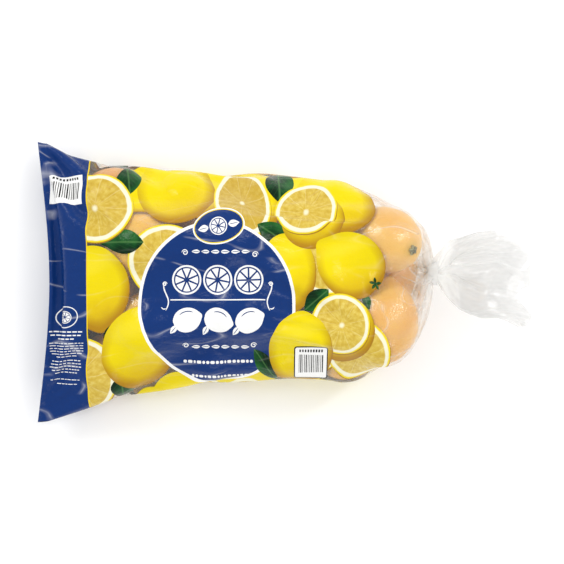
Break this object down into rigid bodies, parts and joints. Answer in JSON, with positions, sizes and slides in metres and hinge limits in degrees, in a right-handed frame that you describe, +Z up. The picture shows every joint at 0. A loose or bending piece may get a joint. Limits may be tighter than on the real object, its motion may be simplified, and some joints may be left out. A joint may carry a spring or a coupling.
{
  "type": "bag of lemons",
  "caption": "Clear printed film bag filled with whole lemons, lying on its back, with a flat sealed end, a gathered tied neck and a flared film tail",
  "frame": {"origin": "centre of the bounding box at the level of the surface the bag lies on", "axes": "+X along the bag from the sealed end to the open tail, +Z up out of the printed face, +Y across the bag"},
  "size_m": [0.4382, 0.2547, 0.1092],
  "materials": {
    "film_bag": "thin clear glossy film, printed in blue, white, yellow and green, over yellow lemons",
    "clear_tie": "clear glossy plastic"
  },
  "bodies": {
    "root": {"bag": "film_bag", "neck_tie": "clear_tie"}
  },
  "joints": []
}
